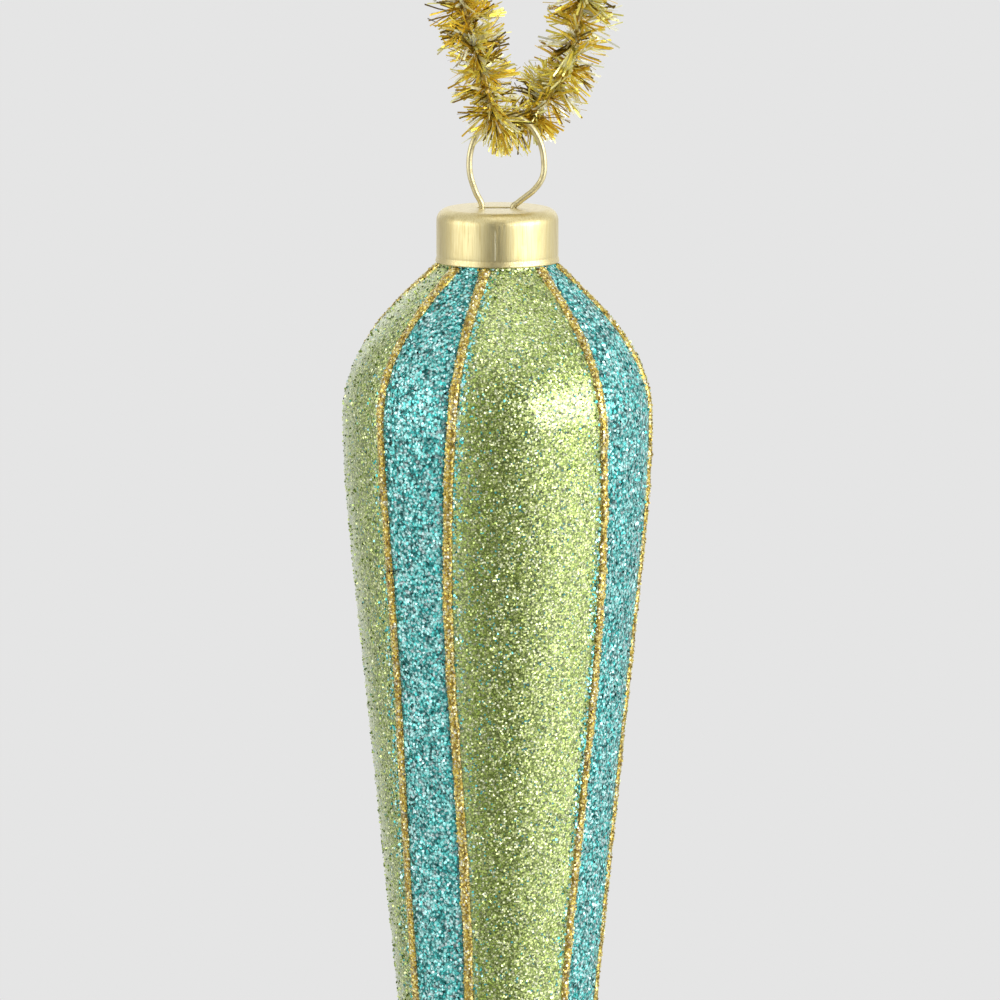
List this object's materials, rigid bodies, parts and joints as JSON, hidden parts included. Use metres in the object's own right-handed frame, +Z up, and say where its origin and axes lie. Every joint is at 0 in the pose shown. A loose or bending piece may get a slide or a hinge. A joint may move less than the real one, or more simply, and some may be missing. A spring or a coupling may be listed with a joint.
{
  "type": "finial ornament",
  "caption": "Long tapered glass drop ornament with glitter stripes, a metal cap, a wire ring and a tinsel loop to hang it by.",
  "frame": {"origin": "underside of the top of the tinsel loop, where the ornament hangs on a twig or hook", "axes": "+Z up, along the glass drop's own axis; -Y is the front; +X is to the right seen from the front, along the ring's plane"},
  "size_m": [0.0502, 0.0501, 0.3625],
  "materials": {
    "glass": "clear blown glass, coated outside",
    "green_glitter": "fine glitter in glue",
    "teal_glitter": "coarse glitter in glue",
    "gold_glitter": "raised bead of fine glitter",
    "cap_metal": "satin, drawn",
    "hanger_wire": "bright wire",
    "tinsel_foil": "metallised foil on a twisted wire"
  },
  "bodies": {
    "tinsel": {"tinsel_upper_left": "tinsel_foil", "tinsel_lower_left": "tinsel_foil", "tinsel_lower_right": "tinsel_foil", "tinsel_upper_right": "tinsel_foil"},
    "hanger": {"hanger_wire": "hanger_wire"},
    "cap": {"cap": "cap_metal"},
    "glass": {"glass_body": "glass", "green_panel_front": "green_glitter", "green_panel_right": "green_glitter", "green_panel_back": "green_glitter", "green_panel_left": "green_glitter", "teal_stripe_front_left": "teal_glitter", "teal_stripe_front_right": "teal_glitter", "teal_stripe_back_right": "teal_glitter", "teal_stripe_back_left": "teal_glitter", "gold_line_1": "gold_glitter", "gold_line_2": "gold_glitter", "gold_line_3": "gold_glitter", "gold_line_4": "gold_glitter", "gold_line_5": "gold_glitter", "gold_line_6": "gold_glitter", "gold_line_7": "gold_glitter", "gold_line_8": "gold_glitter", "gold_tip": "gold_glitter"}
  },
  "joints": [
    {"name": "ring_swing", "type": "hinge", "parent": "tinsel", "child": "hanger", "pos_m": [0.0015, 0, -0.075], "axis": [0, 1, 0], "range_deg": [-45, 45]},
    {"name": "cap_rock", "type": "hinge", "parent": "hanger", "child": "cap", "pos_m": [0, 0, -0.0891], "axis": [1, 0, 0], "range_deg": [-6, 6]},
    {"name": "glass_pull", "type": "slide", "parent": "cap", "child": "glass", "axis": [0, 0, -1], "range_m": [0, 0.025]}
  ]
}
